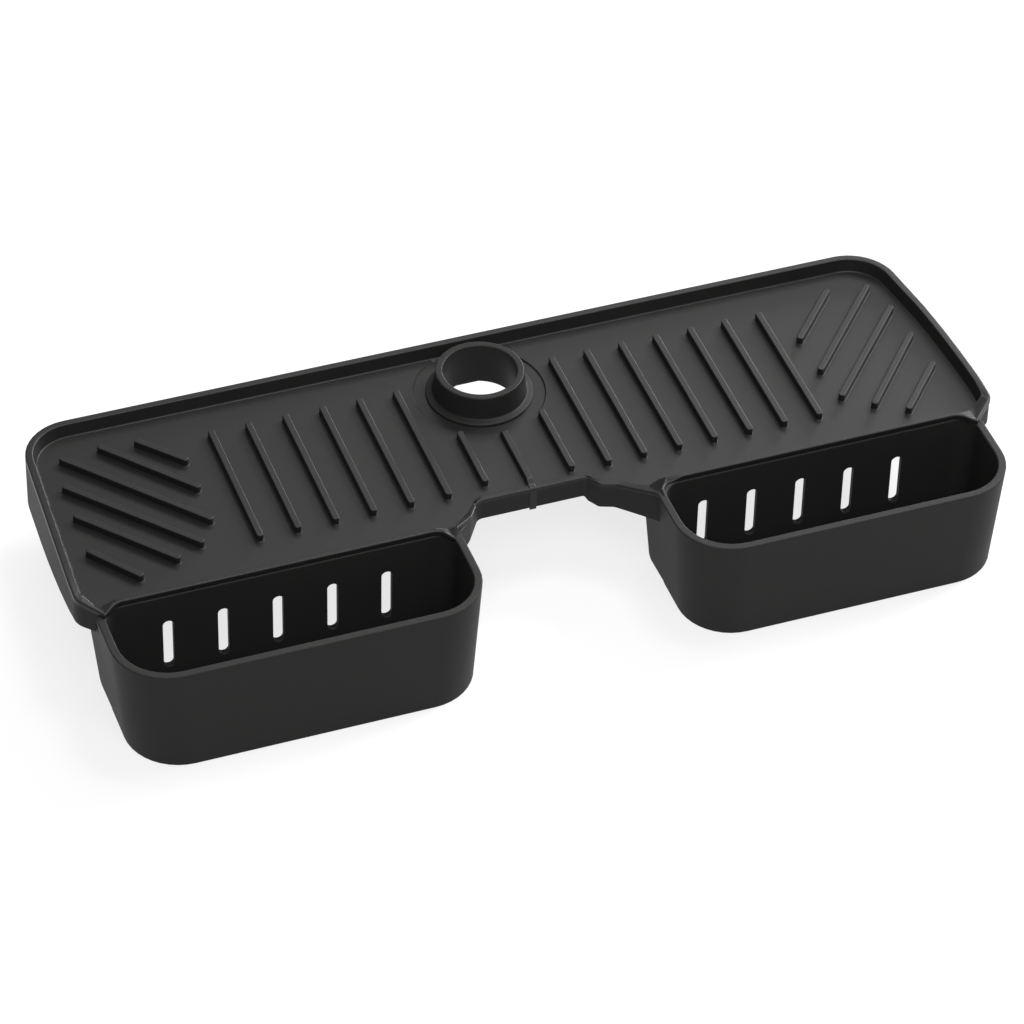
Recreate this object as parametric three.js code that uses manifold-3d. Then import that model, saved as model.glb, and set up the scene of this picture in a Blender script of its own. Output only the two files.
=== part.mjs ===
// Silicone sink mat: a shallow rimmed tray with a tap collar, drain ribs, a front slit and two
// baskets that hang from its front edge. Millimetres, +Z up. The part stands on its basket
// floors with its box centred on the origin; lengths below are measured from the collar axis,
// and heights from the top of the mat's rim.
import * as THREE from 'three';
import { mergeVertices } from 'three/addons/utils/BufferGeometryUtils.js';
import Module from 'manifold-3d';

const wasm = await Module();
wasm.setup();

// Mat plan
const matHalfLength = 239.8;
const sideFlare = 3.4; // degrees that each side edge opens towards the front
const backReach = 37.5;
const bayReach = 102.4; // front edge of the rim behind each basket
const rearCornerRadius = 26;
const frontCornerSetback = 11.4; // the front corners are cut off this far behind the bay edge
const frontCornerRadius = 9;
const bayCornerRadius = 4;
const notchReach = 80.3; // front edge of the drain notch between the baskets
const notchLeft = 27;
const notchRight = 29;
const notchCornerRadius = 5;
const scallopDepth = 7.7; // small step in the outline right of the notch
const scallopRun = 5;
const scallopLedge = [7, 2]; // length and drop of the ledge that follows the step

// Mat section
const rimWidth = 3.6;
const rimDraft = 1.6; // the rim's inner face leans in by this much at the floor
const floorDepth = 7;
const floorThickness = 2.5;
const skirtHeight = 19.2; // at the front
const skirtRearHeight = 31.4; // deeper behind, so that the tray on a level deck drains forwards
const skirtRiseStart = 5; // the lower edge is level up to here, then sweeps up to the notch
const skirtSteps = 8; // flat stretches in that sweep
const skirtWall = 2.6;
const lipHeight = 0.5; // low lip that is left of the rim along the notch
const lipSlope = 11; // length over which the rim falls to the lip

// Drain ribs
const ribWidth = 3.4;
const ribHeight = 4;
const straightRibStart = 42.2; // collar axis to the first long rib on either side
const straightRibBackMargin = 27.5;
const straightRibFrontMargin = 27.4;
const straightRibs = { left: { count: 6, pitch: 19.8 }, right: { count: 7, pitch: 19.1 } };
const shortRibOffset = 22;
const shortRibStart = 29; // collar axis to the back end of the two short ribs
const diagonalRibAngle = 48.8;
const diagonalRibs = {
  left: { count: 6, pitch: 16.5, first: 125.3, gap: 17.5 },
  right: { count: 5, pitch: 17.3, first: 137.4, gap: 13 },
};
const diagonalSideMargin = 15.4;
const diagonalBackMargin = 22;
const diagonalInnerFront = 58; // where the field's inner edge turns towards the front corner
const diagonalOuterFront = 85;
const diagonalFrontRun = 44; // length of that slanted front edge of the field

// Tap collar
const boreRadius = 19;
const collarTopRadius = 22.8;
const collarFootRadius = 23.8;
const collarRise = 7.3; // above the mat's rim
const flangeRadius = 27.6;
const flangeEdge = 1.9;
const flangeSlope = 1.2;
const spigotWall = 2.6;
const spigotEnd = 16.5; // below the mat's rim
const recessRadius = 34.2;
const recessDepth = 0.8;

// Front slit, its cover bead, and the strip behind the collar that bends as the slit opens
const slitX = -1.1; // the slit runs along the bead's left edge, not through the collar axis
const beadWidth = 3.6;
const beadStart = 37;
const beadLap = 0.3; // the bead is part of the right half and laps over the left by this much
const strapThickness = 0.7;
const hingeHalfWidth = 6;

// Baskets
const baskets = {
  left: { inner: 46, endSetback: 5.4, slotStart: 38.2, slotPitch: 28.2 },
  right: { inner: 56.5, endSetback: 6.1, slotStart: 27.6, slotPitch: 26.4 },
};
// How far each wall leans in at the floor: at the left-hand end, the right-hand end and the front
const basketDrafts = {
  left: { low: 5.8, high: 3.3, front: 2.1 },
  right: { low: 5.8, high: 2.8, front: 4.4 },
};
// The end walls run on behind the rear wall as cheeks, back to here at their top and at their foot
const cheekReach = { top: 84, foot: 86.5 };
const cheekWall = 3;
const cheekDrop = 2.5; // top of the cheeks below the skirt's front edge
const basketReach = 159;
const basketRimDrop = 3; // basket rim below the mat's rim
const standHeight = 65.3; // basket floor to the mat's rim
const basketWall = 4.2;
const basketRearWall = 3;
const basketFloor = 3;
const basketFrontRadius = { left: 34, right: 28 }; // at the left-hand and right-hand end of each
const basketRearRadius = 9;
const slotCount = 5;
const slotWidth = 5.5;
const slotTop = 19.7; // below the mat's rim
const slotBottom = 49.5;

const fitGap = 0.3; // between solids that are cut to fit each other
const arcStep = Math.PI / 14; // largest turn between points on a rounded corner
const overshoot = 5; // cutting solids run this far past what they cut

// Heights, with the mat's rim at zero
const floorTop = -floorDepth;
const floorUnder = floorTop - floorThickness;
const recessTop = floorTop - recessDepth;
const ribTop = floorTop + ribHeight;
const basketRim = -basketRimDrop;

const silicone = new THREE.MeshStandardMaterial({ color: 0x2a2a2b, roughness: 0.62, metalness: 0 });
const collarSilicone = new THREE.MeshStandardMaterial({ color: 0x252526, roughness: 0.58, metalness: 0 });
const basketSilicone = new THREE.MeshStandardMaterial({ color: 0x2d2d2e, roughness: 0.6, metalness: 0 });

// A corner list holds [x, y, radius], counter-clockwise. Each corner becomes an arc that its
// two edges can hold.
function roundCorners(corners) {
  const points = [];
  corners.forEach(([x, y, radius], i) => {
    const corner = new THREE.Vector2(x, y);
    const before = new THREE.Vector2(...corners.at(i - 1)).sub(corner);
    const after = new THREE.Vector2(...corners[(i + 1) % corners.length]).sub(corner);
    const room = Math.min(before.length(), after.length()) * 0.49;
    before.normalize();
    after.normalize();
    const turn = Math.PI - Math.acos(THREE.MathUtils.clamp(before.dot(after), -1, 1));
    const setback = Math.min(radius * Math.tan(turn / 2), room);
    const arcRadius = setback / Math.tan(turn / 2);
    const middle = before.clone().add(after).normalize();
    const centre = corner.clone().addScaledVector(middle, Math.hypot(arcRadius, setback));
    const start = corner.clone().addScaledVector(before, setback).sub(centre);
    const direction = Math.sign(after.cross(before));
    const steps = Math.max(1, Math.ceil(turn / arcStep - 1e-6));
    for (let step = 0; step <= steps; step += 1) {
      const angle = (direction * turn * step) / steps;
      points.push(start.clone().rotateAround(new THREE.Vector2(), angle).add(centre));
    }
  });
  return points;
}

// The same corners with every edge moved inwards.
function inset(corners, distance) {
  const edges = corners.map(([x, y], i) => {
    const [nextX, nextY] = corners[(i + 1) % corners.length];
    const along = new THREE.Vector2(nextX - x, nextY - y).normalize();
    const inward = new THREE.Vector2(-along.y, along.x);
    return { start: new THREE.Vector2(x, y).addScaledVector(inward, distance), along };
  });
  return corners.map(([, , radius], i) => {
    const previous = edges.at(i - 1);
    const next = edges[i];
    const turn = previous.along.cross(next.along);
    const offset = next.start.clone().sub(previous.start);
    const meeting = previous.start.clone().addScaledVector(previous.along, offset.cross(next.along) / turn);
    const newRadius = Math.max(radius - Math.sign(turn) * distance, 0.5);
    return [meeting.x, meeting.y, newRadius];
  });
}

function solid(geometry) {
  geometry.deleteAttribute('normal');
  geometry.deleteAttribute('uv');
  const merged = mergeVertices(geometry, 1e-4);
  return new wasm.Manifold(new wasm.Mesh({
    numProp: 3,
    vertProperties: new Float32Array(merged.attributes.position.array),
    triVerts: new Uint32Array(merged.index.array),
  }));
}

function prism(points, bottom, top) {
  const geometry = new THREE.ExtrudeGeometry(new THREE.Shape(points), { depth: top - bottom, bevelEnabled: false });
  return solid(geometry.translate(0, 0, bottom));
}

// A closed loft between two outlines with the same number of points.
function loft(low, high, bottom, top) {
  const count = low.length;
  const positions = [];
  low.forEach((point) => positions.push(point.x, point.y, bottom));
  high.forEach((point) => positions.push(point.x, point.y, top));
  const index = [];
  for (let i = 0; i < count; i += 1) {
    const next = (i + 1) % count;
    index.push(i, next, count + next, i, count + next, count + i);
  }
  for (const [a, b, c] of THREE.ShapeUtils.triangulateShape(low, [])) index.push(a, c, b);
  for (const [a, b, c] of THREE.ShapeUtils.triangulateShape(high, [])) index.push(count + a, count + b, count + c);
  const geometry = new THREE.BufferGeometry();
  geometry.setAttribute('position', new THREE.Float32BufferAttribute(positions, 3));
  geometry.setIndex(index);
  return solid(geometry);
}

function block(x0, x1, y0, y1, z0, z1) {
  const geometry = new THREE.BoxGeometry(x1 - x0, y1 - y0, z1 - z0);
  return solid(geometry.translate((x0 + x1) / 2, (y0 + y1) / 2, (z0 + z1) / 2));
}

function cylinder(radius, bottom, top) {
  const geometry = new THREE.CylinderGeometry(radius, radius, top - bottom, 48);
  return solid(geometry.rotateX(Math.PI / 2).translate(0, 0, (bottom + top) / 2));
}

function mesh(name, shape, material) {
  const { vertProperties, triVerts } = shape.getMesh();
  const geometry = new THREE.BufferGeometry();
  geometry.setAttribute('position', new THREE.Float32BufferAttribute(vertProperties, 3));
  geometry.setIndex(Array.from(triVerts));
  geometry.computeVertexNormals();
  const piece = new THREE.Mesh(geometry, material);
  piece.name = name;
  return piece;
}

// The mat's plan. The front edge at the bays can be drawn back to make room for the baskets.
const sideAt = (y) => matHalfLength - y * Math.tan(THREE.MathUtils.degToRad(sideFlare));
const basketEnd = { left: matHalfLength - baskets.left.endSetback, right: matHalfLength - baskets.right.endSetback };
function matOutline(bayFront) {
  const cornerY = -(bayReach - frontCornerSetback);
  const cornerX = sideAt(cornerY);
  const bayEnd = cornerX - frontCornerSetback;
  const step = [notchRight + scallopRun, -notchReach - scallopDepth];
  return [
    [sideAt(backReach), backReach, rearCornerRadius],
    [-sideAt(backReach), backReach, rearCornerRadius],
    [-cornerX, cornerY, frontCornerRadius],
    [-bayEnd, -bayFront, bayCornerRadius],
    [-baskets.left.inner, -bayFront, bayCornerRadius],
    [-notchLeft, -notchReach, notchCornerRadius],
    [notchRight, -notchReach, notchCornerRadius],
    [...step, notchCornerRadius],
    [step[0] + scallopLedge[0], step[1] - scallopLedge[1], notchCornerRadius],
    [baskets.right.inner, -bayFront, bayCornerRadius],
    [bayEnd, -bayFront, bayCornerRadius],
    [cornerX, cornerY, frontCornerRadius],
  ];
}

// Baskets: open boxes with a straight rear wall and leaning sides, slotted at the back. The walls
// have no lean at the rim and their full lean at the floor.
const basketRear = -(bayReach - basketRearWall);
const basketHeight = standHeight - basketRimDrop;
function basketCorners(side, z, grow = 0) {
  const sign = side === 'left' ? -1 : 1;
  const ends = [sign * baskets[side].inner, sign * basketEnd[side]].sort((a, b) => a - b);
  const lean = (basketRim - z) / basketHeight;
  const low = ends[0] + basketDrafts[side].low * lean - grow;
  const high = ends[1] - basketDrafts[side].high * lean + grow;
  const front = -basketReach + basketDrafts[side].front * lean - grow;
  const rear = basketRear + grow;
  return [
    [high, rear, basketRearRadius],
    [low, rear, basketRearRadius],
    [low, front, basketFrontRadius.left],
    [high, front, basketFrontRadius.right],
  ];
}

function basketBody(side, grow = 0) {
  const low = roundCorners(basketCorners(side, -standHeight, grow));
  const high = roundCorners(basketCorners(side, basketRim, grow));
  return loft(low, high, -standHeight, basketRim + grow);
}

// The hollow is inset by the wall, and again by what the rear wall is thinner than the others.
function basketHollow(side) {
  const hollowAt = (z) => {
    const corners = inset(basketCorners(side, z), basketWall);
    const rear = basketRear - basketRearWall;
    return roundCorners(corners.map(([x, y, radius], i) => [x, i < 2 ? rear : y, i < 2 ? basketRearRadius : radius]));
  };
  const bottom = -standHeight + basketFloor;
  const top = basketRim + overshoot;
  return loft(hollowAt(bottom), hollowAt(top), bottom, top);
}

// One cheek, at the 'low' or the 'high' end of a basket.
function cheek(side, end) {
  const section = (z, reach) => {
    const [high, low] = basketCorners(side, z);
    const from = end === 'low' ? low[0] : high[0] - cheekWall;
    const front = basketRear - basketRearRadius - basketWall;
    return [
      new THREE.Vector2(from, front),
      new THREE.Vector2(from + cheekWall, front),
      new THREE.Vector2(from + cheekWall, -reach),
      new THREE.Vector2(from, -reach),
    ];
  };
  const topZ = -skirtHeight - cheekDrop;
  return loft(section(-standHeight, cheekReach.foot), section(topZ, cheekReach.top), -standHeight, topZ);
}

function drainSlot(x) {
  const half = slotWidth / 2;
  const corners = [
    [x + half, -slotTop, half],
    [x - half, -slotTop, half],
    [x - half, -slotBottom, half],
    [x + half, -slotBottom, half],
  ];
  const depth = basketRearWall + overshoot * 2;
  const geometry = new THREE.ExtrudeGeometry(new THREE.Shape(roundCorners(corners)), { depth, bevelEnabled: false });
  return solid(geometry.rotateX(Math.PI / 2).translate(0, basketRear + overshoot, 0));
}

function basket(side) {
  const sign = side === 'left' ? -1 : 1;
  let shape = basketBody(side).subtract(basketHollow(side));
  shape = shape.add(cheek(side, 'low')).add(cheek(side, 'high'));
  for (let i = 0; i < slotCount; i += 1) {
    const { inner, slotStart, slotPitch } = baskets[side];
    shape = shape.subtract(drainSlot(sign * (inner + slotStart + i * slotPitch)));
  }
  return mesh(`${side}_basket`, shape, basketSilicone);
}

// Drain ribs: bars with round ends, set a little into the floor that they stand on.
function rib(x0, y0, x1, y1) {
  const along = new THREE.Vector2(x1 - x0, y1 - y0);
  const half = ribWidth / 2;
  const reach = along.length();
  const bar = roundCorners([
    [reach, half, half],
    [0, half, half],
    [0, -half, half],
    [reach, -half, half],
  ]).map((point) => point.rotateAround(new THREE.Vector2(), along.angle()).add(new THREE.Vector2(x0, y0)));
  return prism(bar, (floorTop + floorUnder) / 2, ribTop);
}

// The stretch of a slanted line that lies inside a convex field, counter-clockwise.
function clipLine(point, along, field) {
  let from = -Infinity;
  let to = Infinity;
  field.forEach(([x, y], i) => {
    const [nextX, nextY] = field[(i + 1) % field.length];
    const edge = new THREE.Vector2(nextX - x, nextY - y);
    const side = edge.cross(point.clone().sub(new THREE.Vector2(x, y)));
    const rate = edge.cross(along);
    if (rate > 0) from = Math.max(from, -side / rate);
    if (rate < 0) to = Math.min(to, -side / rate);
  });
  return [from, to];
}

function diagonalField(innerX) {
  const outerX = matHalfLength - diagonalSideMargin;
  const back = backReach - diagonalBackMargin;
  return [
    [innerX, -diagonalInnerFront],
    [innerX + diagonalFrontRun, -diagonalOuterFront],
    [outerX, -diagonalOuterFront],
    [outerX, back],
    [innerX, back],
  ];
}

function ribsOf(side) {
  const sign = side === 'left' ? -1 : 1;
  const ribs = [];
  const back = backReach - straightRibBackMargin;
  const front = -(bayReach - straightRibFrontMargin);
  const { count, pitch } = straightRibs[side];
  for (let i = 0; i < count; i += 1) {
    const x = sign * (straightRibStart + i * pitch);
    ribs.push(rib(x, back, x, front));
  }
  ribs.push(rib(sign * shortRibOffset, -shortRibStart, sign * shortRibOffset, front));
  const diagonal = diagonalRibs[side];
  const angle = THREE.MathUtils.degToRad(diagonalRibAngle);
  const along = new THREE.Vector2(Math.cos(angle), Math.sin(angle));
  const across = new THREE.Vector2(Math.sin(angle), -Math.cos(angle));
  const field = diagonalField(straightRibStart + (count - 1) * pitch + diagonal.gap);
  for (let i = 0; i < diagonal.count; i += 1) {
    const point = across.clone().multiplyScalar(diagonal.first + i * diagonal.pitch);
    const [from, to] = clipLine(point, along, field);
    const start = point.clone().addScaledVector(along, from);
    const end = point.clone().addScaledVector(along, to);
    ribs.push(rib(sign * start.x, start.y, sign * end.x, end.y));
  }
  return ribs;
}

// Everything below the skirt's lower edge.
function belowSkirt() {
  const edge = [new THREE.Vector2(backReach * 2, -skirtRearHeight)];
  for (let i = 0; i <= skirtSteps; i += 1) {
    const share = i / skirtSteps;
    const y = -THREE.MathUtils.lerp(skirtRiseStart, notchReach, share);
    edge.push(new THREE.Vector2(y, THREE.MathUtils.lerp(-skirtRearHeight, -skirtHeight, share ** 2)));
  }
  edge.push(new THREE.Vector2(-basketReach, -skirtHeight));
  edge.push(new THREE.Vector2(-basketReach, -standHeight));
  edge.push(new THREE.Vector2(backReach * 2, -standHeight));
  const depth = matHalfLength * 4;
  const geometry = new THREE.ExtrudeGeometry(new THREE.Shape(edge), { depth, bevelEnabled: false });
  return solid(geometry.translate(0, 0, -depth / 2).rotateX(Math.PI / 2).rotateZ(Math.PI / 2));
}

// The mat as moulded, before the slit is cut.
function wholeMat() {
  const outline = matOutline(bayReach);
  const trayTop = roundCorners(inset(outline, rimWidth));
  const trayFloor = roundCorners(inset(outline, rimWidth + rimDraft));
  const trayAbove = roundCorners(inset(outline, rimWidth - rimDraft * (overshoot / floorDepth)));
  const skirtFront = bayReach - basketRearWall - fitGap;
  const underside = roundCorners(inset(matOutline(skirtFront), skirtWall));
  const recess = cylinder(recessRadius, recessTop, floorTop + overshoot).intersect(
    prism(trayFloor, recessTop - overshoot, floorTop + fitGap),
  );
  const notchAt = (spread) => [
    new THREE.Vector2(-notchLeft - lipSlope / 2 - spread, -bayReach),
    new THREE.Vector2(notchRight + lipSlope + spread, -bayReach),
    new THREE.Vector2(notchRight + lipSlope + spread, -notchReach + rimWidth * 3),
    new THREE.Vector2(-notchLeft - lipSlope / 2 - spread, -notchReach + rimWidth * 3),
  ];
  const lipTop = floorTop + lipHeight;
  const rise = lipSlope / -lipTop;
  let shape = prism(roundCorners(outline), -skirtRearHeight - overshoot, 0)
    .subtract(loft(trayFloor, trayTop, floorTop, 0).add(loft(trayTop, trayAbove, 0, overshoot)))
    .subtract(prism(underside, -standHeight, floorUnder))
    .subtract(belowSkirt())
    .subtract(loft(notchAt(0), notchAt(lipSlope + rise * overshoot), lipTop, overshoot))
    .subtract(recess)
    .subtract(cylinder(boreRadius + spigotWall + fitGap, -standHeight, overshoot));
  for (const side of ['left', 'right']) {
    ribsOf(side).forEach((bar) => {
      shape = shape.add(bar);
    });
    shape = shape.subtract(basketBody(side, fitGap));
  }
  return shape;
}

// The uncut strip behind the collar, which bends as the slit opens.
function hingeStrip(margin, top) {
  return block(slitX - hingeHalfWidth - margin, slitX + hingeHalfWidth + margin, 0, backReach * 2, -standHeight, top);
}

// Collar: a ring with a flange on the mat and a spigot through it. The spigot is left off over the
// strip, so that each half can swing clear of it.
function wholeCollar() {
  const profile = [
    [boreRadius, -spigotEnd],
    [boreRadius + spigotWall, -spigotEnd],
    [boreRadius + spigotWall, recessTop],
    [flangeRadius, recessTop],
    [flangeRadius, recessTop + flangeEdge],
    [collarFootRadius, recessTop + flangeEdge + flangeSlope],
    [collarTopRadius, collarRise],
    [boreRadius, collarRise],
    [boreRadius, -spigotEnd],
  ];
  const geometry = new THREE.LatheGeometry(profile.map(([r, z]) => new THREE.Vector2(r, z)), 48);
  return solid(geometry.rotateX(Math.PI / 2)).subtract(hingeStrip(spigotWall, recessTop));
}

// Cover bead along the slit, with a strap that runs down the front face.
function seamBead() {
  const left = slitX - beadLap;
  const right = left + beadWidth;
  const front = -notchReach;
  const lipBack = front + rimWidth + rimDraft;
  const bead = block(left, right, front - strapThickness, -beadStart, floorTop + lipHeight, ribTop);
  const foot = block(left, right, lipBack, -beadStart, floorTop, ribTop);
  const strap = block(left, right, front - strapThickness, front, -skirtHeight, ribTop);
  return mesh('seam_bead', bead.add(foot).add(strap), silicone);
}

// The slit runs from the front to the bore. Behind the bore a strip stays whole.
const far = matHalfLength * 2;
const leftSide = block(-far, slitX, -far, far, -far, far);
const rightSide = block(slitX, far, -far, far, -far, far);
const strip = hingeStrip(0, overshoot);
const mat = wholeMat();
const collar = wholeCollar();

const sinkMat = new THREE.Group();
sinkMat.position.set(0, (basketReach - backReach) / 2, standHeight);
sinkMat.add(mesh('left_mat', mat.intersect(leftSide).subtract(strip), silicone));
sinkMat.add(mesh('right_mat', mat.intersect(rightSide).subtract(strip), silicone));
sinkMat.add(mesh('hinge_web', mat.intersect(strip), silicone));
sinkMat.add(mesh('left_collar', collar.intersect(leftSide), collarSilicone));
sinkMat.add(mesh('right_collar', collar.intersect(rightSide), collarSilicone));
sinkMat.add(seamBead());
sinkMat.add(basket('left'));
sinkMat.add(basket('right'));

export default sinkMat;
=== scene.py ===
import math

import bmesh
import bpy
from mathutils import Matrix, Quaternion, Vector


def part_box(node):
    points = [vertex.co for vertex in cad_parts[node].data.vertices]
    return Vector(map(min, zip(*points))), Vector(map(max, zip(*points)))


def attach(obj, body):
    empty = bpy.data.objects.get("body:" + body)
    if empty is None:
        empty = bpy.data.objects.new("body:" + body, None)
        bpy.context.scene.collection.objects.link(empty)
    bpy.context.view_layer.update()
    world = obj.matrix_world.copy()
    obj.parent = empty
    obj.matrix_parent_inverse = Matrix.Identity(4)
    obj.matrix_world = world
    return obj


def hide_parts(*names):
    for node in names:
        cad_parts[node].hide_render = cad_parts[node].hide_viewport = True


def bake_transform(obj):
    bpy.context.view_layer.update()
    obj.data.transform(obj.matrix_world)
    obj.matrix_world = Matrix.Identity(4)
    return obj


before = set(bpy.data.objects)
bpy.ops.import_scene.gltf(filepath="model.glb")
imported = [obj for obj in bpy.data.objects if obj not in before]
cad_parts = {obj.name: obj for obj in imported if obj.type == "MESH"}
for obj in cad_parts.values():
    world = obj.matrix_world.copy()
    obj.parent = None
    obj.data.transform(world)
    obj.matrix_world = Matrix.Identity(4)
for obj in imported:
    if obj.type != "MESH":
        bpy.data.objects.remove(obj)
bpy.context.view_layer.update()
scene = bpy.context.scene

# Mat halves. The real piece is a shallow tray of black silicone, compression moulded in one with
# its rim and its hollow skirt, then slit from the front edge to the tap hole. It is drawn as rings
# along its outline, from the underside out to the skirt, over the rim and down to the floor.
SIDES = {"left": -1, "right": 1}
BACK_REACH = 37.2
REAR_CORNER = 26.0
NOTCH_REACH = 80.3
SLIT_X = -1.1
SLIT_GAP = 0.004
RIM_WIDTH = 3.8
RIM_EDGE = 1.5
RIM_BAND = 1.2 * RIM_EDGE
LIP = -6.6
LEDGE_Z = -2.95
TRAY_DRAFT = 1.5
TRAY_FOOT = 2.9
TRAY_EDGE = 1.0
TRAY_FILLET = 1.4
FLOOR_Z = -7.0
FLOOR_UNDER_Z = -9.5
SKIRT_WALL = 2.6
SKIRT_EDGE = 0.5
SKIRT_TUCK = 0.05
SKIRT_Z = -19.2
SKIRT_REAR_Z = -31.4
SKIRT_SIDE_Z = -16.5
SKIRT_RISE_START = 5.0
RECESS_RADIUS = 34.2
RECESS_STEP = 0.6
RECESS_Z = -7.8
HOLE_RADIUS = 21.9
COLLAR_STEPS = 48
WEB_STEPS = 16

# Each side's reach beside the collar, how it splays towards the front, and how it bows.
SIDE_CURVES = {"left": (236.7, -0.052, 0), "right": (238.6, -0.126, -0.00065)}
SIDE_STEPS = (-16, -29, -42, -55, -68, -80)

# The skirt's lower edge is level along the notch, with a step down at the right.
NOTCH_SPAN = (-70, 80)
STEP_START = 27.4
STEP_LENGTH = 2.6
STEP_DROP = 2.8

# The rim sinks to the lip between these, from the left waist to the notch.
SINK_SPAN = (-48, -20)
SINK_FRONT = -70
SINK_START = -83
SINK_LENGTH = 20

collar_low, collar_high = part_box("right_collar")
COLLAR_Y = (collar_low.y + collar_high.y) / 2
RIM_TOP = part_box("left_mat")[1].z

# The recess round the collar runs out under the back rim here, where the bending strip starts.
FLOOR_BACK = BACK_REACH - RIM_WIDTH - TRAY_FOOT
WEB_HALF = math.sqrt(RECESS_RADIUS**2 - FLOOR_BACK**2)
WEB_ANGLE = math.acos(WEB_HALF / RECESS_RADIUS)

# Corners of the front edge in plan, each with its radius and the rim's height there, from the
# slit to the right and round to the slit again. Radius None marks a plain point. The rim sinks to
# a lip along the notch, and it is drawn out to a point where it runs into each basket's rim.
front_rim = {
    "notch_right": [
        (28.4, -NOTCH_REACH, 3.5, LIP),
        (33.2, -87.5, 3.5, LIP),
        (40.5, -90.2, 5.0, LIP),
        (48.0, -97.5, None, -5.6),
        (56.6, -107.6, 5.0, -3.1),
        (57.3, -113.0, 0.3, -3.3),
        (60.1, -113.0, 0.3, -3.3),
        (60.7, -102.0, 7.0, -2.0),
        (72.0, -101.8, None, 0),
    ],
    "right_end": [(222.0, -101.8, 9.0, 0), (229.9, -108.9, 0.6, -0.8), (244.0, -94.3, 8.0, 0)],
    "left_end": [(-241.2, -93.6, 11.0, 0), (-230.2, -108.2, 0.6, -0.8), (-222.3, -101.8, 9.0, 0)],
    "notch_left": [
        (-57.3, -101.8, 8.0, 0),
        (-50.6, -109.4, 0.6, -1.2),
        (-47.3, -102.7, 4.0, -0.4),
        (-37.2, -94.2, 6.0, -3.2),
        (-29.0, -NOTCH_REACH, 5.0, LIP),
    ],
}
# The skirt below the rim ends inside the baskets' walls.
front_skirt = {
    "notch_right": [
        (28.4, -NOTCH_REACH, 3.5, LIP),
        (33.2, -87.5, 3.5, LIP),
        (40.5, -90.2, 5.0, LIP),
        (48.0, -97.5, None, -5.6),
        (57.8, -107.2, 2.0, -3.1),
        (60.0, -110.2, 0.4, -3.3),
        (61.4, -108.6, 0.4, -3.3),
        (63.0, -99.1, 2.0, -2.0),
        (72.0, -99.1, None, 0),
    ],
    "right_end": [(224.0, -99.1, 3.0, 0), (231.6, -103.6, 0.5, -1.2), (244.0, -94.3, 8.0, 0)],
    "left_end": [(-241.2, -93.6, 11.0, 0), (-231.6, -103.6, 0.5, -1.2), (-224.0, -99.1, 3.0, 0)],
    "notch_left": [
        (-53.5, -99.1, 2.0, 0),
        (-48.2, -108.6, 0.5, -1.2),
        (-45.4, -102.6, 4.0, -0.4),
        (-37.8, -94.0, 6.0, -3.2),
        (-29.0, -NOTCH_REACH, 5.0, LIP),
    ],
}
# The tray's edge inside the rim cuts the drawn-out points off.
front_tray = {
    "notch_right": [
        (27.0, -76.5, 5.0, LIP),
        (34.4, -84.2, 4.0, LIP),
        (42.0, -86.6, 5.0, LIP),
        (49.5, -93.5, None, -6.2),
        (55.5, -97.4, 2.0, -5.0),
        (58.5, -98.0, 1.0, -3.0),
        (61.0, -98.1, 1.0, -1.6),
        (64.0, -98.2, 1.0, -1.2),
        (72.0, -98.2, None, -1.2),
    ],
    "right_end": [(222.0, -98.2, 5.0, -2.2), (231.5, -97.6, 6.0, -2.4), (240.3, -90.5, 6.0, -0.6)],
    "left_end": [(-237.3, -89.5, 6.0, -0.8), (-230.8, -97.6, 6.0, -3.6), (-222.0, -98.2, 5.0, -1.0)],
    "notch_left": [
        (-57.5, -98.2, 5.0, -1.0),
        (-51.0, -98.0, 3.0, -3.4),
        (-46.0, -95.5, 5.0, -4.6),
        (-35.5, -87.5, 8.0, -6.0),
        (-27.0, -76.5, 5.0, LIP),
    ],
}


def place(x, y, z):
    return Vector((x / 1000, COLLAR_Y + y / 1000, RIM_TOP + z / 1000))


def rounded(corners, steps=10):
    """Points along a path of (x, y, radius) or (x, y, radius, height) corners. Each rounded corner
    gives the same number of points, so that paths with matching corners give matching points."""
    points = []
    for i, (x, y, radius, *height) in enumerate(corners):
        corner = Vector((x, y))
        height = height[0] if height else 0
        if radius is None:
            points.append(Vector((x, y, height)))
            continue
        back = Vector(corners[i - 1][:2]) - corner
        ahead = Vector(corners[(i + 1) % len(corners)][:2]) - corner
        room = 0.49 * min(back.length, ahead.length)
        back.normalize()
        ahead.normalize()
        turn = math.pi - back.angle(ahead)
        setback = min(radius * math.tan(turn / 2), room)
        reach = math.hypot(setback, setback / math.tan(turn / 2))
        centre = corner + (back + ahead).normalized() * reach
        spoke = corner + back * setback - centre
        side = math.copysign(1, ahead.cross(back))
        for step in range(steps + 1):
            point = centre + Matrix.Rotation(side * turn * step / steps, 2) @ spoke
            points.append(Vector((point.x, point.y, height)))
    return points


def inset(corners, distance):
    """The same corners with every edge moved towards the inside of the outline."""
    moved = []
    for i, (x, y, radius, *height) in enumerate(corners):
        corner = Vector((x, y))
        before = (corner - Vector(corners[i - 1][:2])).normalized()
        after = (Vector(corners[(i + 1) % len(corners)][:2]) - corner).normalized()
        inward = Vector((-after.y, after.x))
        middle = (inward + Vector((-before.y, before.x))).normalized()
        point = corner + middle * (distance / middle.dot(inward))
        if radius is not None:
            radius = max(radius - math.copysign(distance, before.cross(after)), 0.3)
        moved.append((point.x, point.y, radius, *height))
    return moved


def side_at(side, y):
    reach, slope, bow = SIDE_CURVES[side]
    return SIDES[side] * (reach + slope * y + bow * y * y)


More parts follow.
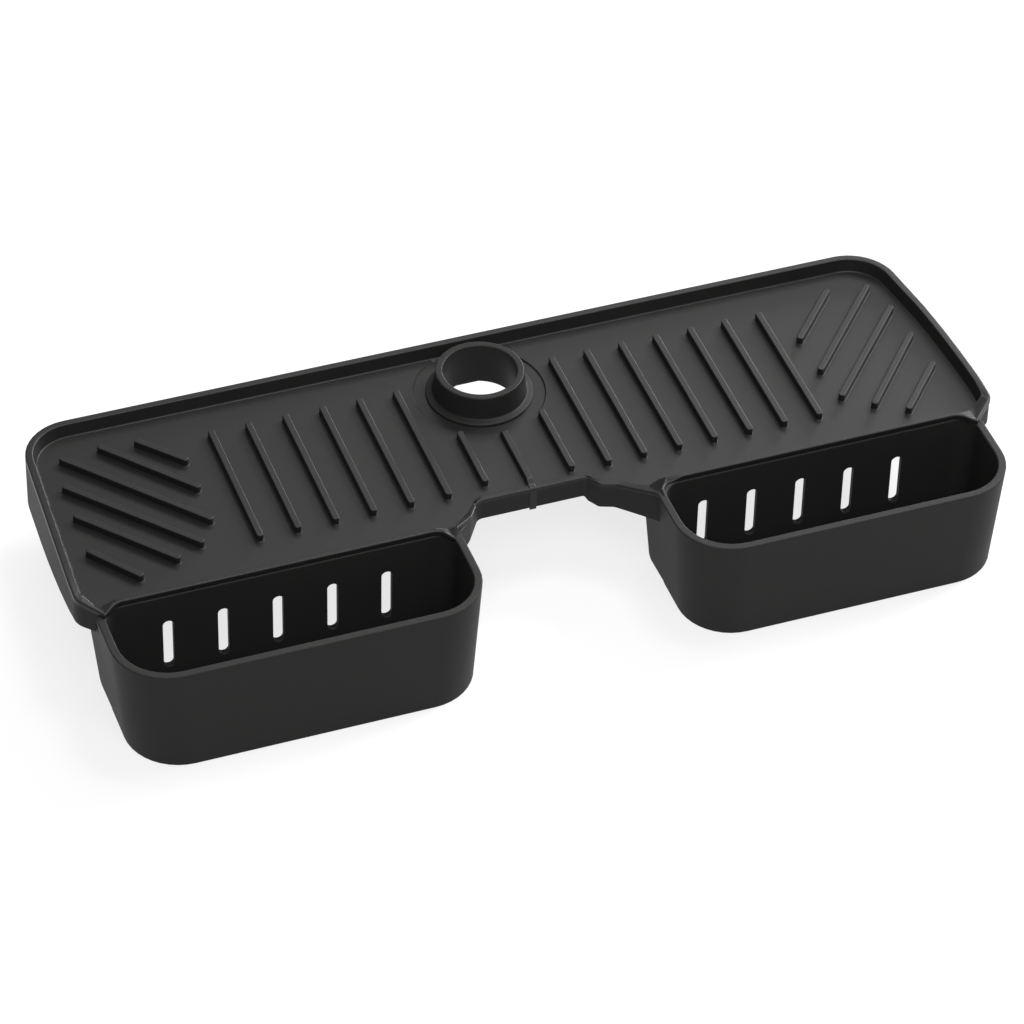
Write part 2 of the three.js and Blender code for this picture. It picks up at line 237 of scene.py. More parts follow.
def mat_outline(front, margin):
    """Counter-clockwise from the slit. The margin draws in the back, the sides and the lip."""
    back = BACK_REACH - margin
    lip_y = -NOTCH_REACH + margin
    web = [WEB_HALF * (1 - 2 * i / WEB_STEPS) for i in range(WEB_STEPS + 1)]
    return [
        (SLIT_X + SLIT_GAP, lip_y, None, LIP),
        *front["notch_right"],
        *front["right_end"],
        *[(side_at("right", y) - margin, y, None, 0) for y in reversed(SIDE_STEPS)],
        (side_at("right", BACK_REACH) - margin, back, REAR_CORNER - margin, 0),
        *[(x, back, None, 0) for x in web],
        (side_at("left", BACK_REACH) + margin, back, REAR_CORNER - margin, 0),
        *[(side_at("left", y) + margin, y, None, 0) for y in SIDE_STEPS],
        *front["left_end"],
        *front["notch_left"],
        (SLIT_X - SLIT_GAP, lip_y, None, LIP),
    ]


rim_outline = mat_outline(front_rim, 0)
skirt_outline = mat_outline(front_skirt, 0)
tray_outline = mat_outline(front_tray, RIM_WIDTH)
rim_points = rounded(rim_outline)
at_strip = [point.y > 0 and abs(point.x - WEB_HALF) < 0.01 for point in rim_points]
web_first = at_strip.index(True)
web_last = web_first + WEB_STEPS
skirt_profile = [
    (SKIRT_WALL, FLOOR_UNDER_Z, None),
    (SKIRT_WALL, SKIRT_Z, SKIRT_EDGE),
    (0, SKIRT_Z, SKIRT_EDGE),
    (0, LEDGE_Z, None),
]
rim_profile = [(0, LEDGE_Z, None), (0, 0, RIM_EDGE), (1.1 * RIM_EDGE, 0, None)]
tray_profile = [
    (-TRAY_EDGE, 0, None),
    (0, 0, TRAY_EDGE),
    (TRAY_DRAFT, FLOOR_Z, TRAY_FILLET),
    (TRAY_FOOT, FLOOR_Z, None),
]


def ease(share):
    """A smooth step from 0 to 1."""
    share = min(max(share, 0), 1)
    return share * share * (3 - 2 * share)


def lower_edge(point):
    """Height of the skirt's lower edge: deep and level behind, then sweeping up along the sides. At
    the notch it is level, with a step down where the outline steps forward."""
    if point.y < 0 and NOTCH_SPAN[0] < point.x < NOTCH_SPAN[1]:
        return SKIRT_Z - STEP_DROP * ease((point.x - STEP_START) / STEP_LENGTH)
    share = max(-SKIRT_RISE_START - point.y, 0) / (NOTCH_REACH - SKIRT_RISE_START)
    return min(SKIRT_REAR_Z + (SKIRT_Z - SKIRT_REAR_Z) * share**2, SKIRT_SIDE_Z)


def sink_to_lip(points):
    """Lets the rim sink evenly from the left waist to the lip, over the points of one outline."""
    for point in points:
        if point.y < SINK_FRONT and SINK_SPAN[0] < point.x < SINK_SPAN[1]:
            point.z = LIP * (1 - ease((SINK_START - point.y) / SINK_LENGTH))
    return points


def skirt_ring(distance, z):
    """The skirt's rows follow its lower edge, and its top row is tucked just under the rim's edge."""
    ring = []
    points = sink_to_lip(rounded(inset(skirt_outline, distance)))
    for point, rim_point in zip(points, rim_points):
        height = z
        if z < FLOOR_UNDER_Z:
            height = z - SKIRT_Z + lower_edge(rim_point)
        elif distance == 0:
            height = min(z, point.z - RIM_BAND) - SKIRT_TUCK
        ring.append(place(point.x, point.y, height))
    return ring


def rim_ring(distance, z):
    """The rim's rounded edge follows the rim's height, and the row below it stays on the ledge."""
    ring = []
    for point in sink_to_lip(rounded(inset(rim_outline, distance))):
        below = z < -RIM_BAND
        height = min(z, point.z - RIM_BAND) if below else point.z + z
        ring.append(place(point.x, point.y, height))
    return ring


def tray_ring(distance, z):
    """The tray's edge follows the rim's height, and it never goes below the floor."""
    points = rounded(inset(tray_outline, distance))
    return [place(point.x, point.y, max(point.z + z, FLOOR_Z)) for point in points]


mat_rings = [skirt_ring(step.x, step.y) for step in rounded(skirt_profile, 3)]
mat_rings += [rim_ring(step.x, step.y) for step in rounded(rim_profile, 5)]
mat_rings += [tray_ring(step.x, step.y) for step in rounded(tray_profile, 5)]


def arc(radius, z, start, end, steps):
    """Points round the collar axis, with angles in radians from +X."""
    angles = [start + (end - start) * i / steps for i in range(steps + 1)]
    return [place(radius * math.cos(a), radius * math.sin(a), z) for a in angles]


def collar_arc(side, radius, z):
    """Counter-clockwise round one side of the collar axis, between the slit and the strip."""
    slit = math.acos((SLIT_X + SIDES[side] * SLIT_GAP) / radius)
    if side == "right":
        return arc(radius, z, -slit, WEB_ANGLE, COLLAR_STEPS)
    return arc(radius, z, math.pi - WEB_ANGLE, 2 * math.pi - slit, COLLAR_STEPS)


MERGE_DISTANCE = 2e-6
SHORTEST_EDGE = 1e-7


def shell(name, strips, faces=()):
    """A mesh object from strips of matching rows of points and from flat faces."""
    build = bmesh.new()
    for rows in strips:
        grid = [[build.verts.new(point) for point in row] for row in rows]
        for low, high in zip(grid, grid[1:]):
            for i in range(len(low) - 1):
                build.faces.new((low[i], low[i + 1], high[i + 1], high[i]))
    for points in faces:
        build.faces.new([build.verts.new(point) for point in points])
    bmesh.ops.remove_doubles(build, verts=build.verts, dist=MERGE_DISTANCE)
    bmesh.ops.dissolve_degenerate(build, edges=build.edges, dist=SHORTEST_EDGE)
    mesh = bpy.data.meshes.new(name)
    build.to_mesh(mesh)
    build.free()
    piece = bpy.data.objects.new(name, mesh)
    scene.collection.objects.link(piece)
    return piece


def bake(piece):
    """Turns what the modifiers give into the piece's own plain mesh."""
    depsgraph = bpy.context.evaluated_depsgraph_get()
    mesh = bpy.data.meshes.new_from_object(piece.evaluated_get(depsgraph), depsgraph=depsgraph)
    piece.modifiers.clear()
    piece.data = mesh
    return piece


def soften(piece, angle=40):
    """Faces outwards, rounded edges shaded smooth, flat faces kept flat, sharp edges kept sharp."""
    build = bmesh.new()
    build.from_mesh(piece.data)
    bmesh.ops.recalc_face_normals(build, faces=build.faces)
    for face in build.faces:
        face.smooth = True
    for edge in build.edges:
        edge.smooth = not edge.is_manifold or edge.calc_face_angle() < math.radians(angle)
    build.to_mesh(piece.data)
    build.free()
    piece.modifiers.new("weighted", "WEIGHTED_NORMAL").keep_sharp = True
    return bake(piece)


def linear(hex_colour):
    """An sRGB hex colour as linear red, green, blue and alpha."""
    channels = [int(hex_colour[i : i + 2], 16) / 255 for i in (1, 3, 5)]
    red, green, blue = [c / 12.92 if c <= 0.04045 else ((c + 0.055) / 1.055) ** 2.4 for c in channels]
    return red, green, blue, 1


def add_node(tree, kind, inputs, **settings):
    """Adds a node, sets its properties, and sets its inputs or links them to nodes or sockets."""
    node = tree.nodes.new(kind)
    for name, value in settings.items():
        setattr(node, name, value)
    for name, value in inputs.items():
        for source in value if isinstance(value, list) else [value]:
            if isinstance(source, bpy.types.Node):
                source = source.outputs[0]
            if isinstance(source, bpy.types.NodeSocket):
                tree.links.new(source, node.inputs[name])
            else:
                node.inputs[name].default_value = source
    return node


SILICONE_IOR = 1.41
CLOUD_MM = 45
CLOUD_MATT = 0.06
GRAIN_MM = 1.2


def moulded_silicone(name, dark, light, roughness, sheen, grain_depth_mm):
    """Silicone rubber from a blasted mould: a soft black with a fine even grain, and faint clouds
    where the surface is a little more or less matt. The real grain is finer than a pixel, so it
    is drawn coarser."""
    material = bpy.data.materials.new(name)
    material.use_nodes = True
    tree = material.node_tree
    tree.nodes.clear()
    where = add_node(tree, "ShaderNodeTexCoord", {}).outputs["Object"]
    clouds = {"Vector": where, "Scale": 1000 / CLOUD_MM, "Detail": 3}
    clouds = add_node(tree, "ShaderNodeTexNoise", clouds)
    grain = {"Vector": where, "Scale": 1000 / GRAIN_MM, "Detail": 2}
    grain = add_node(tree, "ShaderNodeTexNoise", grain)
    colour = {0: clouds, 6: linear(dark), 7: linear(light)}
    colour = add_node(tree, "ShaderNodeMix", colour, data_type="RGBA")
    matt = {"Value": clouds, "To Min": roughness - CLOUD_MATT, "To Max": roughness + CLOUD_MATT}
    matt = add_node(tree, "ShaderNodeMapRange", matt)
    bump = {"Height": grain, "Strength": 0.5, "Distance": grain_depth_mm / 1000}
    bump = add_node(tree, "ShaderNodeBump", bump)
    surface = {
        "Base Color": colour.outputs[2],
        "Roughness": matt,
        "Normal": bump,
        "IOR": SILICONE_IOR,
        "Specular IOR Level": sheen,
    }
    surface = add_node(tree, "ShaderNodeBsdfPrincipled", surface)
    add_node(tree, "ShaderNodeOutputMaterial", {"Surface": surface})
    return material


# The tray's side of the mould is finely blasted: near black, with a soft sheen under a broad light.
mat_silicone = moulded_silicone(
    "moulded silicone, matt black",
    dark="#1c1c1c",
    light="#212120",
    roughness=0.42,
    sheen=0.35,
    grain_depth_mm=0.03,
)
# Its outer side is blasted coarser: the skirt and the baskets look greyer, with hardly any sheen.
outer_silicone = moulded_silicone(
    "moulded silicone, blasted black",
    dark="#242424",
    light="#2b2b2a",
    roughness=0.58,
    sheen=0.2,
    grain_depth_mm=0.04,
)


def finish_piece(piece, material, slot, body, *nodes):
    """Gives a finished piece its material, hides the CAD nodes it stands for and hangs it on the body it
    rides on.
    """
    piece.data.materials.clear()
    piece.data.materials.append(material)
    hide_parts(*nodes)
    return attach(piece, body)


def blast_skirt(piece):
    """Gives the faces below the tray's floor the rougher finish of the mould's outer half."""
    piece.data.materials.append(outer_silicone)
    for face in piece.data.polygons:
        face.material_index = int(face.center.z < RIM_TOP + FLOOR_UNDER_Z / 1000)


def mat_half(side):
    """The rings between the slit and the strip, with the floor, the recess round the collar, the
    underside, and end faces at the slit and at the strip."""
    part = slice(0, web_first + 1) if side == "right" else slice(web_last, None)
    rows = [ring[part] for ring in mat_rings]
    recess = [
        collar_arc(side, RECESS_RADIUS, FLOOR_Z),
        collar_arc(side, RECESS_RADIUS - RECESS_STEP, RECESS_Z),
        collar_arc(side, HOLE_RADIUS, RECESS_Z),
        collar_arc(side, HOLE_RADIUS, FLOOR_UNDER_Z),
    ]
    floor = rows[-1] + recess[0][::-1]
    underside = recess[-1] + rows[0][::-1]
    loop = [*rows, *recess]
    ends = [[row[0] for row in loop], [row[-1] for row in loop[::-1]]]
    return shell(f"{side}_mat_moulding", [rows, recess], [floor, underside, *ends])


for side in SIDES:
    half = soften(mat_half(side))
    finish_piece(half, mat_silicone, "mat_silicone", f"{side}_half", f"{side}_mat")
    blast_skirt(half)

# Hinge strip. Behind the collar the moulding isn't cut, and on the real mat this strip of silicone rim,
# skirt and floor bends when the slit is pulled open; here it is one fixed piece, drawn unbent. It carries
# on the rings of both halves.
web_rows = [ring[web_first : web_last + 1] for ring in mat_rings]
for point in web_rows[-1][1:-1]:
    point.z = place(0, 0, RECESS_Z).z
foot_scale = (RECESS_RADIUS - RECESS_STEP) / RECESS_RADIUS
web_foot = [WEB_HALF * foot_scale * (1 - 2 * i / WEB_STEPS) for i in range(WEB_STEPS + 1)]
web_loop = [
    *web_rows,
    [place(x, FLOOR_BACK * foot_scale, RECESS_Z) for x in web_foot],
    arc(HOLE_RADIUS, RECESS_Z, WEB_ANGLE, math.pi - WEB_ANGLE, WEB_STEPS),
    arc(HOLE_RADIUS, FLOOR_UNDER_Z, WEB_ANGLE, math.pi - WEB_ANGLE, WEB_STEPS),
]
web_ends = [[row[0] for row in web_loop], [row[-1] for row in web_loop[::-1]]]
hinge_strip = soften(shell("hinge_strip_moulding", [[*web_loop, web_loop[0]]], web_ends))
hinge_strip.data.materials.append(mat_silicone)
blast_skirt(hinge_strip)
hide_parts("hinge_web")
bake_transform(hinge_strip)

# Drain ribs. Low silicone bars with flat tops, moulded in one with the floor, lead the water
# forward. Each one is the outline of its flat top, filled, with one wall section swept round it.
RIB_WIDTH = 3.4
RIB_HEIGHT = 4.0
RIB_CORNER = 1.3
RIB_EDGE = 0.8
RIB_FILLET = 0.5
RIB_ROOT = 1.0
RIB_SINK = 0.05
RIB_BACK = 10.0
straight_ribs = {
    "left": {"first": -42.1, "pitch": -19.7, "count": 6, "front": -74.5},
    "right": {"first": 42.5, "pitch": 19.1, "count": 7, "front": -76.0},
}
# X, back end and front end of the short rib in front of the collar.
short_ribs = {"left": (-21.5, -30.5, -71.0), "right": (23.4, -27.5, -74.0)}
# Back end and front end of each diagonal rib.
diagonal_ribs = {
    "left": [
        ((-178.9, 15.0), (-158.0, -8.2)),
        ((-197.8, 16.4), (-158.3, -29.7)),
        ((-218.4, 13.6), (-159.2, -54.6)),
        ((-222.8, -7.4), (-168.4, -69.5)),
        ((-223.6, -30.0), (-183.0, -77.0)),
        ((-224.6, -56.9), (-203.9, -83.8)),
    ],
    "right": [
        ((198.7, 16.0), (169.6, -16.7)),
        ((220.3, 13.2), (170.4, -43.3)),
        ((225.5, -6.8), (172.8, -65.8)),
        ((226.7, -30.5), (186.4, -77.0)),
        ((228.3, -55.7), (201.4, -86.1)),
    ],
}


def rib_lines(side):
    rows = straight_ribs[side]
    lines = []
    for i in range(rows["count"]):
        x = rows["first"] + i * rows["pitch"]
        lines.append(((x, RIB_BACK), (x, rows["front"])))
    x, back, front = short_ribs[side]
    lines.append(((x, back), (x, front)))
    return lines + diagonal_ribs[side]


def guide(name, loops):
    """An object of edges only, one open or closed line of points per loop."""
    build = bmesh.new()
    for points, closed in loops:
        corners = [build.verts.new(point) for point in points]
        for first, second in zip(corners, corners[1:]):
            build.edges.new((first, second))
        if closed:
            build.edges.new((corners[-1], corners[0]))
    mesh = bpy.data.meshes.new(name)
    build.to_mesh(mesh)
    build.free()
    piece = bpy.data.objects.new(name, mesh)
    scene.collection.objects.link(piece)
    return piece


def rib_top(start, end):
    """Outline of a rib's flat top, counter-clockwise."""
    along = (Vector(end) - Vector(start)).normalized()
    across = Vector((-along.y, along.x)) * (RIB_WIDTH / 2 - RIB_EDGE)
    first = Vector(start) + along * RIB_EDGE
    last = Vector(end) - along * RIB_EDGE
    corners = [last - across, last + across, first + across, first - across]
    outline = rounded([(corner.x, corner.y, RIB_CORNER - RIB_EDGE) for corner in corners], 5)
    return [place(point.x, point.y, FLOOR_Z + RIB_HEIGHT) for point in outline]


def node_group(name, sockets):
    """A geometry node group with a geometry input, the named inputs and an output."""
    group = bpy.data.node_groups.new(name, "GeometryNodeTree")
    group.interface.new_socket("Geometry", in_out="INPUT", socket_type="NodeSocketGeometry")
    for label, kind in sockets.items():
        group.interface.new_socket(label, in_out="INPUT", socket_type=kind)
    group.interface.new_socket("Geometry", in_out="OUTPUT", socket_type="NodeSocketGeometry")
    return group, add_node(group, "NodeGroupInput", {}).outputs


def add_modifier(piece, group, values):
    modifier = piece.modifiers.new(group.name, "NODES")
    modifier.node_group = group
    for item in group.interface.items_tree:
        if item.in_out == "INPUT" and item.name in values:
            modifier[item.identifier] = values[item.name]


ribs_inputs = {
    "Section": "NodeSocketObject",
    "Top": "NodeSocketVector",
    "Bottom": "NodeSocketVector",
    "Material": "NodeSocketMaterial",
}
ribs_group, given = node_group("drain ribs", ribs_inputs)
outlines = add_node(ribs_group, "GeometryNodeMeshToCurve", {"Mesh": given["Geometry"]})
upright = add_node(ribs_group, "GeometryNodeSetCurveNormal", {"Curve": outlines}, mode="Z_UP")
section = add_node(ribs_group, "GeometryNodeObjectInfo", {"Object": given["Section"]})
section = add_node(ribs_group, "GeometryNodeMeshToCurve", {"Mesh": section.outputs["Geometry"]})
walls = add_node(ribs_group, "GeometryNodeCurveToMesh", {"Curve": upright, "Profile Curve": section})
# Filling lays the outlines flat at height zero, so the tops and bottoms are moved to their heights.
flat = add_node(ribs_group, "GeometryNodeFillCurve", {"Curve": outlines}, mode="NGONS")
tops = {"Geometry": flat, "Translation": given["Top"]}
tops = add_node(ribs_group, "GeometryNodeTransform", tops)
bottoms = {"Geometry": flat, "Translation": given["Bottom"]}
bottoms = add_node(ribs_group, "GeometryNodeTransform", bottoms)
bottoms = add_node(ribs_group, "GeometryNodeFlipFaces", {"Mesh": bottoms})
bars = add_node(ribs_group, "GeometryNodeJoinGeometry", {"Geometry": [walls, tops, bottoms]})
bars = add_node(ribs_group, "GeometryNodeMergeByDistance", {"Geometry": bars, "Distance": MERGE_DISTANCE})
bars = add_node(ribs_group, "GeometryNodeRealizeInstances", {"Geometry": bars})
bars = {"Geometry": bars, "Material": given["Material"]}
bars = add_node(ribs_group, "GeometryNodeSetMaterial", bars)
add_node(ribs_group, "NodeGroupOutput", {"Geometry": bars})

# The section runs outwards in X and downwards in Y, from the flat top to below the floor.
rib_section = [
    (0, 0, None),
    (RIB_EDGE, 0, RIB_EDGE),
    (RIB_EDGE, RIB_HEIGHT, RIB_FILLET),
    (RIB_EDGE + 2 * RIB_FILLET, RIB_HEIGHT + RIB_SINK, None),
    (RIB_EDGE + 2 * RIB_FILLET, RIB_HEIGHT + RIB_ROOT, None),
    (0, RIB_HEIGHT + RIB_ROOT, None),
]
rib_wall = guide("rib_wall_section", [([point / 1000 for point in rounded(rib_section, 4)], False)])
for side in SIDES:
    ribs = guide(f"{side}_drain_ribs", [(rib_top(*line), True) for line in rib_lines(side)])
    values = {
        "Section": rib_wall,
        "Top": (0, 0, RIM_TOP + (FLOOR_Z + RIB_HEIGHT) / 1000),
        "Bottom": (0, 0, RIM_TOP + (FLOOR_Z - RIB_ROOT) / 1000),
        "Material": mat_silicone,
    }
    add_modifier(ribs, ribs_group, values)
    soften(bake(ribs), 50)
    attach(ribs, f"{side}_half")
bpy.data.objects.remove(rib_wall)

# Tap collar. A ring of the same silicone with a sloped flange stands in the recess and closes round
# the tap. It is slit at the front with the mat. On the real mat its back bends with the strip; here the
# back is one fixed piece, drawn unbent.
BORE_RADIUS = 19.0
SPIGOT_RADIUS = 21.6
SPIGOT_Z = -16.5
FLANGE_RADIUS = 27.6
COLLAR_TOP_Z = 7.3
collar_profile = [
    (SPIGOT_RADIUS, SPIGOT_Z, 0.5),
    (SPIGOT_RADIUS, RECESS_Z, None),
    (FLANGE_RADIUS, RECESS_Z, None),
    (FLANGE_RADIUS, -6.3, 0.6),
    (24.1, -5.6, 1.0),
    (22.85, COLLAR_TOP_Z, 0.9),
    (BORE_RADIUS, COLLAR_TOP_Z, 0.8),
    (BORE_RADIUS, SPIGOT_Z, 0.5),
]
# The ring is smoother than the mat: an even dark grey with less grain and a weaker sheen.
collar_silicone = moulded_silicone(
    "moulded silicone, smooth black",
    dark="#222222",
    light="#272726",
    roughness=0.42,
    sheen=0.18,
    grain_depth_mm=0.015,
)
collar_steps = rounded(collar_profile, 6)


def ring_piece(name, rows):
    ends = [[row[0] for row in rows], [row[-1] for row in rows[::-1]]]
    return soften(shell(name, [[*rows, rows[0]]], ends))


for side in SIDES:
    half_rows = [collar_arc(side, step.x, step.y) for step in collar_steps]
    half_ring = ring_piece(f"{side}_collar_ring", half_rows)
    finish_piece(half_ring, collar_silicone, "collar_silicone", f"{side}_half", f"{side}_collar")
back_rows = [arc(step.x, step.y, WEB_ANGLE, math.pi - WEB_ANGLE, WEB_STEPS) for step in collar_steps]
collar_back = ring_piece("collar_back", back_rows)
collar_back.data.materials.append(collar_silicone)
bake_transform(collar_back)

# Seam bead. A raised silicone strip, moulded to the right half, covers the slit from the collar to
# the front edge, then runs down the front face as a thin strap that ends just below the skirt.
BEAD_X = 0.4
BEAD_HALF = 1.8
BEAD_START = -35.4
BEAD_EASE = -73.5
BEAD_HEIGHT = 3.2
BEAD_STEPS = 6
EASE_STEPS = 8
STRAP_THICKNESS = 0.3
STRAP_END = -20.2
# One half of the section across the bead, in shares of its half width and of its height.
bead_section = [(-1, -0.3), (-1, 0.75), (-0.93, 0.9), (-0.75, 1.0), (0, 1.0)]
bead_section += [(-x, z) for x, z in bead_section[-2::-1]]


def bead_stations():
    """Points along the bead with its outward direction and its height there."""
    stations = []
    for i in range(BEAD_STEPS + 1):
        angle = math.pi / 2 * i / BEAD_STEPS
        reach = BEAD_HALF * (1 - math.cos(angle))
        height = BEAD_HEIGHT * max(math.sin(angle), 0.1)
        stations.append((BEAD_START - reach, FLOOR_Z, 0, height))
    edge_y = -NOTCH_REACH + RIM_EDGE
    for i in range(EASE_STEPS + 1):
        share = i / EASE_STEPS
        y = BEAD_EASE + (edge_y - BEAD_EASE) * share
        z = FLOOR_Z + (LIP - FLOOR_Z) * ease(share)
        height = BEAD_HEIGHT + (STRAP_THICKNESS - BEAD_HEIGHT) * ease(share)
        stations.append((y, z, 0, height))
    for i in range(1, BEAD_STEPS + 1):
        angle = math.pi / 2 * i / BEAD_STEPS
        y = edge_y - RIM_EDGE * math.sin(angle)
        z = LIP - RIM_EDGE + RIM_EDGE * math.cos(angle)
        stations.append((y, z, angle, STRAP_THICKNESS))
    for z, share in ((STRAP_END + 0.5, 1), (STRAP_END + 0.15, 0.8), (STRAP_END, 0.3)):
        stations.append((-NOTCH_REACH, z, math.pi / 2, STRAP_THICKNESS * share))
    return stations


bead_rows = []
for y, z, angle, height in bead_stations():
    row = []
    for across, up in bead_section:
        forward = height * up * math.sin(angle)
        upward = height * up * math.cos(angle)
        row.append(place(BEAD_X + BEAD_HALF * across, y - forward, z + upward))
    bead_rows.append([*row, row[0]])
bead = shell("slit_cover_bead", [bead_rows], [bead_rows[0][-2::-1], bead_rows[-1][:-1]])
finish_piece(soften(bead), mat_silicone, "mat_silicone", "right_half", "seam_bead")

# Baskets. Open silicone tubs with leaning front and end walls, a thin upright rear wall and rounded
# corners, moulded to the mat's front edge. Five drain slots pierce each rear wall, and the end
# walls run on behind it as cheeks under the mat.
BASKET_RIM_Z = -3.0
BASKET_BASE_Z = -65.3
BASKET_FLOOR_Z = -62.3
BASKET_FRONT = -159.0
BASKET_REAR = -99.4
BASKET_WALL = 4.2
BASKET_REAR_WALL = 3.0
BASKET_REAR_CORNER = 9.0
BASKET_CORNERS = {"left": 34.0, "right": 28.0}
BASKET_FOOT_EDGE = 1.2
BASKET_RIM_EDGE = 0.8
BASKET_FILLET = 3.0
# Where each tub's end walls stand at the rim, and how far its left, right and front walls lean in.
baskets = {
    "left": {"ends": (-234.4, -46.0), "lean": (5.8, 3.3, 2.1)},
    "right": {"ends": (56.5, 233.7), "lean": (5.8, 2.8, 4.4)},
}
slot_rows = {"left": {"first": -84.2, "pitch": -28.2}, "right": {"first": 84.1, "pitch": 26.4}}
SLOT_COUNT = 5
SLOT_HALF = 2.75
SLOT_TOP = -19.7
SLOT_BOTTOM = -49.5
SLOT_FLARE = 0.9
SLOT_FLARE_Y = BASKET_REAR - 2.5
CHEEK_WALL = 3.0
CHEEK_EDGE = 0.5
CHEEK_CORNER = 4.0
CHEEK_SINK = 0.03
CHEEK_TOP_Z = -12.0
CHEEK_FRONT = -112.0
CHEEK_BACK = {"top": -84.0, "foot": -86.5}
basket_profile = [
    (9.0, BASKET_BASE_Z, None),
    (0, BASKET_BASE_Z, BASKET_FOOT_EDGE),
    (0, BASKET_RIM_Z, BASKET_RIM_EDGE),
    (BASKET_WALL, BASKET_RIM_Z, BASKET_RIM_EDGE),
    (BASKET_WALL, BASKET_FLOOR_Z, BASKET_FILLET),
    (10.0, BASKET_FLOOR_Z, None),
]


def wall_lines(side, z):
    """X of the outer faces of both ends, and Y of the front face, at one height."""
    share = (BASKET_RIM_Z - z) / (BASKET_RIM_Z - BASKET_BASE_Z)
    low, high = baskets[side]["ends"]
    low_lean, high_lean, front_lean = baskets[side]["lean"]
    return low + low_lean * share, high - high_lean * share, BASKET_FRONT + front_lean * share


def basket_ring(side, distance, z):
    """The tub's outline at one height, drawn in by a distance, with a thinner rear wall."""
    low, high, front = wall_lines(side, z)
    corners = inset(
        [
            (high, BASKET_REAR, BASKET_REAR_CORNER),
            (low, BASKET_REAR, BASKET_REAR_CORNER),
            (low, front, BASKET_CORNERS["left"]),
            (high, front, BASKET_CORNERS["right"]),
        ],
        distance,
    )
    rear = BASKET_REAR - min(distance, BASKET_WALL) * BASKET_REAR_WALL / BASKET_WALL
    rear -= max(distance - BASKET_WALL, 0)
    corners[:2] = [(x, rear, BASKET_REAR_CORNER) for x, _, _ in corners[:2]]
    ring = [place(point.x, point.y, z) for point in rounded(corners)]
    return [*ring, ring[0]]


def cheek(side, end):
    """A thin plate in line with one end wall, with a rounded lower corner behind."""
    corners = [
        (CHEEK_FRONT, CHEEK_TOP_Z, 0.2),
        (CHEEK_FRONT, BASKET_BASE_Z + 1.5, 0.2),
        (CHEEK_BACK["foot"], BASKET_BASE_Z, CHEEK_CORNER),
        (CHEEK_BACK["top"], CHEEK_TOP_Z, 0.2),
    ]
    edge = CHEEK_EDGE
    rows = []
    for depth, margin in ((CHEEK_SINK, edge), (edge, 0), (CHEEK_WALL - edge, 0), (CHEEK_WALL, edge)):
        row = []
        for point in rounded(inset(corners, margin)):
            face = wall_lines(side, point.y)[end]
            row.append(place(face + depth if end == 0 else face - depth, point.x, point.y))
        rows.append([*row, row[0]])
    return shell(f"{side}_cheek_{end}", [rows], [rows[0][-2::-1], rows[-1][:-1]])


def slot_cutter(name):
    """A slot with round ends that widens a little at the wall's inner face."""
    steps = [
        (BASKET_REAR + 4, 0),
        (SLOT_FLARE_Y, 0),
        (SLOT_FLARE_Y - 1, SLOT_FLARE),
        (SLOT_FLARE_Y - 4.1, SLOT_FLARE),
    ]
    rows = []
    for y, grow in steps:
        half = SLOT_HALF + grow
        corners = [
            (half, SLOT_TOP + grow, half),
            (-half, SLOT_TOP + grow, half),
            (-half, SLOT_BOTTOM - grow, half),
            (half, SLOT_BOTTOM - grow, half),
        ]
        row = [place(point.x, y, point.y) for point in rounded(corners)]
        rows.append([*row, row[0]])
    return shell(name, [rows], [rows[0][-2::-1], rows[-1][:-1]])


slots_inputs = {
    "Cutter": "NodeSocketObject",
    "Count": "NodeSocketInt",
    "First": "NodeSocketVector",
    "Pitch": "NodeSocketVector",
    "Material": "NodeSocketMaterial",
}
slots_group, given = node_group("drain slots", slots_inputs)
row_inputs = {"Count": given["Count"], "Start Location": given["First"], "Offset": given["Pitch"]}
row_of_points = add_node(slots_group, "GeometryNodeMeshLine", row_inputs, mode="OFFSET")
cutter = add_node(slots_group, "GeometryNodeObjectInfo", {"Object": given["Cutter"]})
cutters = {"Points": row_of_points, "Instance": cutter.outputs["Geometry"]}
cutters = add_node(slots_group, "GeometryNodeInstanceOnPoints", cutters)
cutters = add_node(slots_group, "GeometryNodeRealizeInstances", {"Geometry": cutters})
solids = {"Mesh 1": given["Geometry"], "Mesh 2": cutters}
cut = {"operation": "DIFFERENCE", "solver": "EXACT"}
pierced = add_node(slots_group, "GeometryNodeMeshBoolean", solids, **cut)
pierced = add_node(slots_group, "GeometryNodeRealizeInstances", {"Geometry": pierced})
pierced = {"Geometry": pierced, "Material": given["Material"]}
pierced = add_node(slots_group, "GeometryNodeSetMaterial", pierced)
add_node(slots_group, "NodeGroupOutput", {"Geometry": pierced})

cutter_piece = slot_cutter("slot_cutter")
for side in SIDES:
    rings = [basket_ring(side, step.x, step.y) for step in rounded(basket_profile)]
    tub = shell(f"{side}_basket_tub", [rings], [rings[0][-2::-1], rings[-1][:-1]])
    values = {
        "Cutter": cutter_piece,
        "Count": SLOT_COUNT,
        "First": (slot_rows[side]["first"] / 1000, 0, 0),
        "Pitch": (slot_rows[side]["pitch"] / 1000, 0, 0),
        "Material": outer_silicone,
    }
    add_modifier(tub, slots_group, values)
    soften(bake(tub), 30)
    finish_piece(tub, outer_silicone, "basket_silicone", f"{side}_half", f"{side}_basket")
    for end in (0, 1):
        plate = soften(cheek(side, end), 30)
        plate.data.materials.append(outer_silicone)
        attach(plate, f"{side}_half")
bpy.data.objects.remove(cutter_piece)

